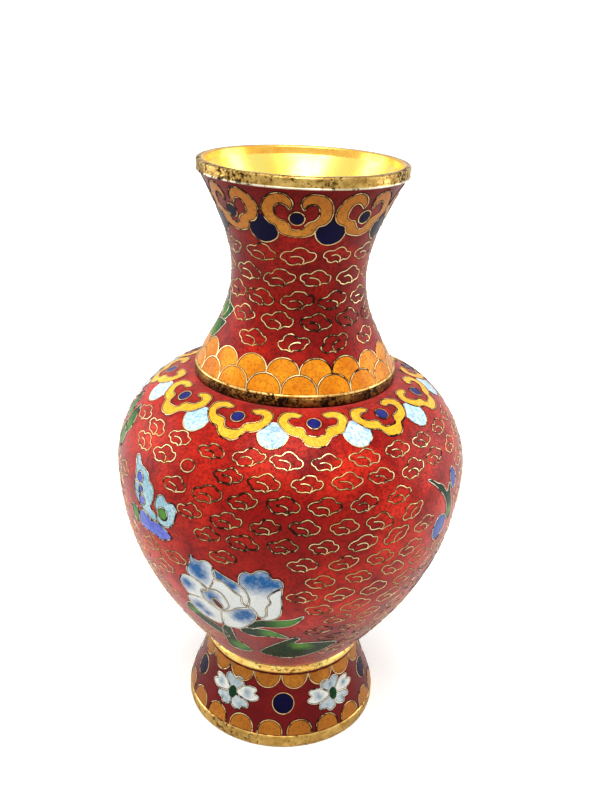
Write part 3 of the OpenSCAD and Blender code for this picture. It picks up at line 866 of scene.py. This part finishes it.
PEONY_LEAVES = (
    (((2.6, -11.8), (5.5, -8.8), (8, -7.8), (11.5, -7.4), (14.5, -6.8), (17.4, -5.4), (15.8, -8),
      (13.5, -10), (10, -11), (6.5, -11.4), (4, -13)),
     ((13.5, -8.2, 3.8),)),
    (((1, -13.6), (5, -12.4), (7.5, -12.4), (9.8, -13.4), (12.6, -16.2), (10.2, -16.2), (7.6, -16),
      (4.4, -16.8), (1.5, -16)),
     ((9, -14.4, 2.6),)),
    (((-3.6, -14.4), (-1.8, -14.4), (-1.6, -18), (-1.4, -22), (0.6, -25), (1.4, -28), (-1.4, -29.5),
      (-4.6, -28.5), (-4.8, -23), (-4.6, -18)),
     ((-1, -26, 2.6),)),
    (((3.6, -27.4), (7.6, -21.6), (11, -18.2), (14, -16), (15.2, -16.8), (13.6, -19.4), (18.5, -19.6),
      (24, -21.4), (21, -25), (17, -27.8), (13, -30), (9.4, -30.6), (6.4, -29.6)),
     ((15, -21.4, 2.4),)),
    (((-12.4, -9), (-8.8, -13.4), (-5.6, -16), (-3.4, -19.4), (-3.8, -21.6), (-7, -19.4), (-11, -16),
      (-14.4, -12.2)),
     ((-12, -12.4, 1.4),)),
)
PEONY_CENTRE = (-18, 39.8)

WING = ((-7, 10.4), (-6.2, 11.3), (-5.2, 10.8), (-4, 9.6), (-2.2, 9.2), (-0.4, 8.6), (0.6, 7), (2, 6.4),
        (2.7, 4.4), (2.2, 2), (1.6, 0.8), (3.8, -0.6), (3, -2.2), (1, -2.2), (-0.8, -1.4), (-3, -0.6),
        (-5, 1.2), (-5.8, 3.8), (-5.8, 6), (-6, 8))
WING_SPOTS = ((-3.5, 6.5, 1.35), (-2.7, 3.7, 0.85), (-2.1, 1.2, 1.3))
WING_ARCS = (((-5.5, 4.9), (-3.6, 4.8), (-1.9, 5.3)), ((-5.1, 2.8), (-3.2, 2.6), (-1.3, 3.2)))
BLOSSOM = ((3.5, 3.3), (4.6, 5.2), (6.2, 5.4), (7.4, 4.3), (9.2, 4.7), (10.5, 3.7), (10.4, 2.3),
           (10, 0.7), (9, -1.2), (7, -2.5), (4.8, -2.3), (3.6, -1.1), (4.4, 0.3), (3.5, 1.5))
BODY = ((-3.6, -2.4), (-1.6, -1.5), (0, -2.1), (1.6, -2.8), (4, -2.4), (6, -2.9), (8, -4.1),
        (8.2, -5.2), (5, -6.8), (2.5, -6.6), (0, -6.6), (-2.8, -6.4), (-4, -4.8))
TAIL_LEAF = ((-8.2, -2.4), (-5, -1.8), (-4.4, -3.2), (-4.4, -6.5), (-6.4, -6.2), (-7.8, -4.4))
FEELERS = (((-1, -7.4), (0.4, -9.5), (3.2, -12.4), (4, -14)), ((0.6, -7.4), (3, -9.4), (5.4, -10.6)))
# A plain oval of wire among the clouds: middle, then half width and half height.
LONE_OVAL = (10.4, 14.4, 1.9, 1.5)
BUTTERFLY_CENTRE = (-48, 56.9)

BUD = ((0, 3.4), (1.2, 2), (1.5, 0), (0.9, -2.2), (-0.2, -3.2), (-1.2, -2), (-1.5, 0), (-1.1, 2.2))
SPRIG_STEM = ((-6.4, 6.2), (-4.4, 5.4), (-2.8, 4.2), (-0.6, 3), (0.6, 1.4), (1.6, 0.4), (2.4, 1.6),
              (3.4, 2), (3.8, -1), (5.6, -6), (5.4, -8.4), (3, -7.4), (1.5, -3), (-0.8, 0.6),
              (-3.6, 3.6))
SPRIG_CENTRE = (56, 61)


def gather(spots):
    """Shade that grows near any of the spots (x, y, reach)."""
    def tone(points):
        value = np.zeros(len(points))
        for x, y, reach in spots:
            value = np.maximum(value, 1.2 - np.hypot(points[:, 0] - x, points[:, 1] - y) / (1.4 * reach))
        return np.clip(value, 0, 1)
    return tone


GARDEN_LOOKS = {
    "petals": (petal_glass, "white_blue_enamel"),
    "stamens": (stamen_glass, "ochre_enamel"),
    "leaves": (leaf_glass, "green_enamel"),
    "wings": (wing_glass, "pale_blue_enamel"),
    "spots": (violet_glass, "violet_enamel"),
    "buds": (cobalt_glass, "cobalt_enamel"),
    "wires": (fine_metal, "wire_brass"),
    "gilt_wires": (wire_metal, "wire_brass"),
    "stains": (stain, "red_enamel"),
}


LEAF_LIFT = 0.02
PETAL_LIFT = 0.06
STAMEN_LIFT = 0.19
LAYER = 0.012    # each next leaf or petal lies this much over the one before


class Garden:
    """All the flowers, leaves and butterflies of one section, gathered by colour."""

    def __init__(self, wall, prefix):
        self.wall = wall
        self.prefix = prefix
        self.piles = {key: Pile() for key in GARDEN_LOOKS}
        self.covered = []

    def line(self, key, points, centre, closed=False, lift=0.0, width=WIRE_W):
        wire(self.piles[key], self.piles["stains"], self.wall, points, centre, closed, lift, width)

    def shape(self, key, points, centre, lift, tone=None):
        cell(self.piles[key], self.wall, points, centre, lift, tone)
        self.line("wires", points, centre, True, lift, FINE_W)
        self.covered.append((centre, curve(points, True, 1)))

    def peony(self, centre, flip=False):
        for key, shapes, lift in (("leaves", PEONY_LEAVES, LEAF_LIFT), ("petals", PEONY, PETAL_LIFT)):
            for k, (outline, spots) in enumerate(shapes):
                lit = [tuple(turned([(x, y)], 0, flip=flip)[0]) + (reach,) for x, y, reach in spots]
                self.shape(key, turned(outline, 0, flip=flip), centre, lift + LAYER * k, gather(lit))
        self.shape("stamens", turned(STAMEN, 0, flip=flip), centre, STAMEN_LIFT)

    def butterfly(self, centre, flip=False):
        def fit(points):
            return turned(points, 0, flip=flip)
        self.shape("wings", fit(WING), centre, 0.04)
        for x, y, r in WING_SPOTS:
            self.shape("spots", fit(circle(r, (x, y), 12)), centre, 0.07)
        self.shape("wings", fit(BLOSSOM), centre, 0.06)
        for vein in WING_ARCS:
            flat = curve(fit(vein), False, WIRE_STEP)
            sweep(self.piles["wires"], self.wall, flat, centre, False, 0.05, FINE_W, WIRE_H, WIRE_SECTION)
        self.shape("leaves", fit(circle(1.6, (6, 0.8), 12)), centre, 0.09, gather([(6, 0.8, 2)]))
        self.shape("spots", fit(BODY), centre, 0.08)
        self.shape("leaves", fit(TAIL_LEAF), centre, 0.05, gather([(-6, -4, 2)]))
        for feeler in FEELERS:
            self.line("gilt_wires", fit(feeler), centre)
        x, y, wide, tall = LONE_OVAL
        oval = fit([(x + wide * a, y + tall * b) for a, b in circle(1)])
        self.line("gilt_wires", oval, centre, True)
        self.covered.append((centre, oval))

    def sprig(self, centre, flip=False, turn=0):
        def fit(points):
            return turned(points, turn, flip=flip)
        self.shape("leaves", fit(SPRIG_STEM), centre, 0.04, gather([(4.4, -5.6, 1.6)]))
        self.shape("buds", fit(turned(np.array(BUD) * (1.25, 1), 8, 0.9, (5.6, 2.4))), centre, 0.05)
        self.shape("buds", fit(turned(np.array(BUD) * (1.9, 1), 12, 1.1, (-0.4, -8.6))), centre, 0.05)

    def leaf(self, centre, length, width, turn):
        half = [(length * t, width * math.sin(math.pi * t ** 0.8)) for t in np.linspace(0, 1, 7)]
        outline = half + [(x, -y * 0.9) for x, y in half[1:-1][::-1]]
        self.shape("leaves", turned(outline, turn), centre, 0.05, gather([(0, 0, length * 0.55)]))

    def small_flower(self, centre, size, start):
        flower(self.piles["petals"], self.piles["leaves"], self.piles["wires"], self.piles["stains"],
               self.wall, centre, size, 1, start)
        self.covered.append((centre, np.array(circle(4.6 * size))))

    def finish(self, nodes):
        for key, pile in self.piles.items():
            if pile.verts:
                pile.build(f"{self.prefix}_{key}", *GARDEN_LOOKS[key], nodes.get(key, ()))


belly_garden = Garden(belly, "belly")
belly_garden.covered += shoulder_covered
belly_garden.peony(PEONY_CENTRE)
belly_garden.butterfly(BUTTERFLY_CENTRE)
belly_garden.sprig(SPRIG_CENTRE)
for leaf in (((-73, 68), 8.5, 3, 98), ((-74, 64.5), 7, 3.2, 112), ((-82, 70), 8, 2.6, 96)):
    belly_garden.leaf(*leaf)
belly_garden.small_flower((-98, 74), 1.6, 10)
belly_garden.peony((158, 44), True)
belly_garden.butterfly((112, 62), True)
belly_garden.sprig((-150, 66), True, 10)
belly_garden.finish({"petals": ("peony_bloom",), "stamens": ("peony_heart",),
                     "leaves": ("peony_leaves", "sprig_leaves"), "wings": ("butterfly_wings",),
                     "spots": ("butterfly_body",), "buds": ("sprig_buds",)})

neck_garden = Garden(neck, "neck")
neck_garden.covered += neck_covered
for leaf in (((-80, 14.5), 7, 2.6, 20), ((-78, 13.5), 7, 2.6, 78), ((-86, 8), 9, 2.6, 35)):
    neck_garden.leaf(*leaf)
neck_garden.small_flower((-95, 19), 1.2, 30)
for leaf in (((176, 22), 8, 2.2, 20), ((-176, 22), 8, 2.2, 160)):
    neck_garden.leaf(*leaf)
neck_garden.finish({"leaves": ("neck_leaves",)})


# ---- Cloud wires ----

# One wire, from the hook's inner tip, out along the bottom and round the lobes back to the hook.
CLOUD = ((-1.6, 0.15), (-0.5, 0.15), (0.5, -0.35), (0.9, -1.1), (0.4, -1.9), (1.5, -1.4), (2.6, -1.35),
         (3.4, -0.6), (3.3, 0.2), (2.4, 0.6), (1.9, 1.4), (0.8, 1.9), (-0.3, 1.8), (-1.2, 1.2),
         (-2.3, 1.3), (-3.3, 0.8), (-3.5, 0.0), (-2.7, -0.6), (-2.4, -1.2), (-1.4, -1.6), (-0.4, -1.55),
         (0.3, -1.95))


def clear_of(centre, wall, covered, wide, tall):
    """Whether a cloud of the given half width and height misses every covered shape."""
    radius = wall.radius_at(centre[1])
    for (angle, s), edge in covered:
        x = math.radians(math.remainder(centre[0] - angle, 360)) * radius
        y = centre[1] - s
        gap = np.hypot((edge[:, 0] - x) / wide, (edge[:, 1] - y) / tall).min()
        if gap < 1 or within(edge, x, y):
            return False
    return True


def clouds(wall, rows, garden, name, pieces, size):
    """Rows of clouds, each (s, how many round), left out where the garden has something."""
    piles = [Pile() for _ in range(pieces)]
    stains = Pile()
    for row, (s, count) in enumerate(rows):
        for i in range(count):
            angle = (i + 0.5 * (row % 2)) * 360 / count + rng.uniform(-1, 1) * 90 / wall.radius_at(s) / 4
            centre = (angle - 1, s + rng.uniform(-0.3, 0.3))
            turn = rng.uniform(-4, 16)
            scale = size * rng.uniform(0.92, 1.06)
            flip = rng.random() < 0.12
            if not clear_of(centre, wall, garden.covered, *CLOUD_CLEAR):
                continue
            points = turned(jitter(CLOUD, 0.13), turn, scale, flip=flip)
            wire(piles[row * pieces // len(rows)], stains, wall, points, centre)
    for k, pile in enumerate(piles):
        pile.build(f"{name}_{k + 1}", wire_metal, "wire_brass")
    stains.build(f"{name}_stains", stain, "red_enamel")


CLOUD_CLEAR = (3.6, 2.2)    # half width and half height of a cloud with its margin
ROW_PITCH = 4.95
CLOUD_PITCH = 9.2
FIRST_ROW = 16.0       # below the top of the belly
LAST_ROW = 8           # above its bottom
NECK_ROWS = (133.2, 127.8, 122.6, 117.7, 112.9)

belly_rows = []
row_s = belly.length - FIRST_ROW
while row_s > LAST_ROW:
    around = 2 * math.pi * belly.radius_at(row_s)
    belly_rows.append((row_s, int(round(around / CLOUD_PITCH))))
    row_s -= ROW_PITCH
clouds(belly, belly_rows, belly_garden, "belly_clouds", 4, 1.03)
neck_rows = [(neck.s_at(z), 12) for z in NECK_ROWS]
clouds(neck, neck_rows, neck_garden, "neck_clouds", 1, 1.08)


# ---- Floor, light and camera ----

def seen_only(tree, cast, seen, ray="Is Camera Ray"):
    """A strength that is cast as light on the vase, and another for what is seen directly."""
    direct = tree.nodes.new("ShaderNodeLightPath").outputs[ray]
    strength = tree.nodes.new("ShaderNodeMapRange")
    strength.inputs["To Min"].default_value = cast
    strength.inputs["To Max"].default_value = seen
    tree.links.new(direct, strength.inputs["Value"])
    return strength.outputs["Result"]


FLOOR_HALF = 3.0
# Glow of the floor near the vase and away from it, and the distances where it changes. The dimmer glow near
# the vase is a painted contact shadow.
FLOOR_GLOW_AND_PAINTED_SHADOW = (0.42, 0.8)
PAINTED_SHADOW_FADE = (0.02, 0.12)
# Name, place, width and power of each lamp.
LAMPS = (("top", (-0.05, -0.4, 0.95), 0.8, 11), ("left", (-0.85, 0.15, 0.3), 0.7, 4),
         ("right", (0.85, 0.15, 0.3), 0.7, 4))
AIM = (0, 0, 0.08)
# Strength of the white world as light, as seen, and added where it is mirrored.
WORLD_CAST = 0.42
WORLD_SEEN = 1.05
WORLD_MIRRORED = 0.5


def paper_floor():
    mesh = bpy.data.meshes.new("floor")
    corners = [(x * FLOOR_HALF, y * FLOOR_HALF, 0) for x, y in ((-1, -1), (1, -1), (1, 1), (-1, 1))]
    mesh.from_pydata(corners, [], [(0, 1, 2, 3)])
    floor = bpy.data.objects.new("floor", mesh)
    sh = Shader("floor_paper")
    tint = sh.mix(sh.noise(60, 2), linear((216, 215, 212)), linear((224, 223, 220)))
    sh.bsdf.inputs["Emission Color"].default_value = (1, 1, 1, 1)
    # The floor glows less close to the vase, as seen by the camera only: a painted contact shadow.
    reach = sh.node("ShaderNodeVectorMath", operation="LENGTH")
    sh.link(sh.coords, reach.inputs[0])
    painted_shadow_glow = sh.node("ShaderNodeMapRange", interpolation_type="SMOOTHSTEP")
    painted_shadow_glow.inputs["From Min"].default_value, painted_shadow_glow.inputs["From Max"].default_value = PAINTED_SHADOW_FADE
    painted_shadow_glow.inputs["To Min"].default_value, painted_shadow_glow.inputs["To Max"].default_value = FLOOR_GLOW_AND_PAINTED_SHADOW
    sh.link(reach.outputs["Value"], painted_shadow_glow.inputs["Value"])
    floor_glow_with_painted_shadow = sh.times(seen_only(sh.tree, 0, 1), painted_shadow_glow.outputs["Result"])
    sh.link(floor_glow_with_painted_shadow, sh.bsdf.inputs["Emission Strength"])
    sh.finish(tint, sh.times(sh.noise(20, 2), 1.2))
    mesh.materials.append(sh.material)
    bpy.context.scene.collection.objects.link(floor)


def white_world():
    """The backdrop looks white, while its light on the vase is softer."""
    world = bpy.data.worlds.new("studio")
    world.use_nodes = True
    tree = world.node_tree
    background = tree.nodes["Background"]
    background.inputs["Color"].default_value = (1, 1, 1, 1)
    total = tree.nodes.new("ShaderNodeMath")
    tree.links.new(seen_only(tree, WORLD_CAST, WORLD_SEEN), total.inputs[0])
    tree.links.new(seen_only(tree, 0, WORLD_MIRRORED, "Is Glossy Ray"), total.inputs[1])
    tree.links.new(total.outputs[0], background.inputs["Strength"])
    bpy.context.scene.world = world


def lamp(name, place, size, power):
    light = bpy.data.lights.new(name, "AREA")
    light.shape = "DISK"
    light.size = size
    light.energy = power
    made = bpy.data.objects.new(name, light)
    made.location = place
    made.rotation_euler = (Vector(AIM) - Vector(place)).to_track_quat("-Z", "Y").to_euler()
    bpy.context.scene.collection.objects.link(made)


VIEW_TURN = (0.44, 22.39, 2.7)    # yaw, pitch and roll in degrees
VIEW_BACK = 1.4992                # in heights of the vase
VIEW_UP = 1.2158
VIEW_LENS = 42.8                  # for a sensor 36 mm high


def camera():
    """Just above the mouth and close to it, looking down the front of the vase."""
    height = cad_box[1][2] - cad_box[0][2]
    yaw, pitch, roll = (math.radians(a) for a in VIEW_TURN)
    lens = bpy.data.cameras.new("camera")
    lens.sensor_fit = "VERTICAL"
    lens.sensor_height = 36
    lens.lens = VIEW_LENS
    lens.clip_start = 0.01
    view = bpy.data.objects.new("camera", lens)
    view.matrix_world = (Matrix.Translation((0, -VIEW_BACK * height, VIEW_UP * height))
                         @ Matrix.Rotation(-yaw, 4, "Z")
                         @ Matrix.Rotation(math.pi / 2 - pitch, 4, "X")
                         @ Matrix.Rotation(roll, 4, "Z"))
    bpy.context.scene.collection.objects.link(view)
    bpy.context.scene.camera = view


bpy.context.scene.view_settings.view_transform = "Standard"
paper_floor()
white_world()
for settings in LAMPS:
    lamp(*settings)
camera()
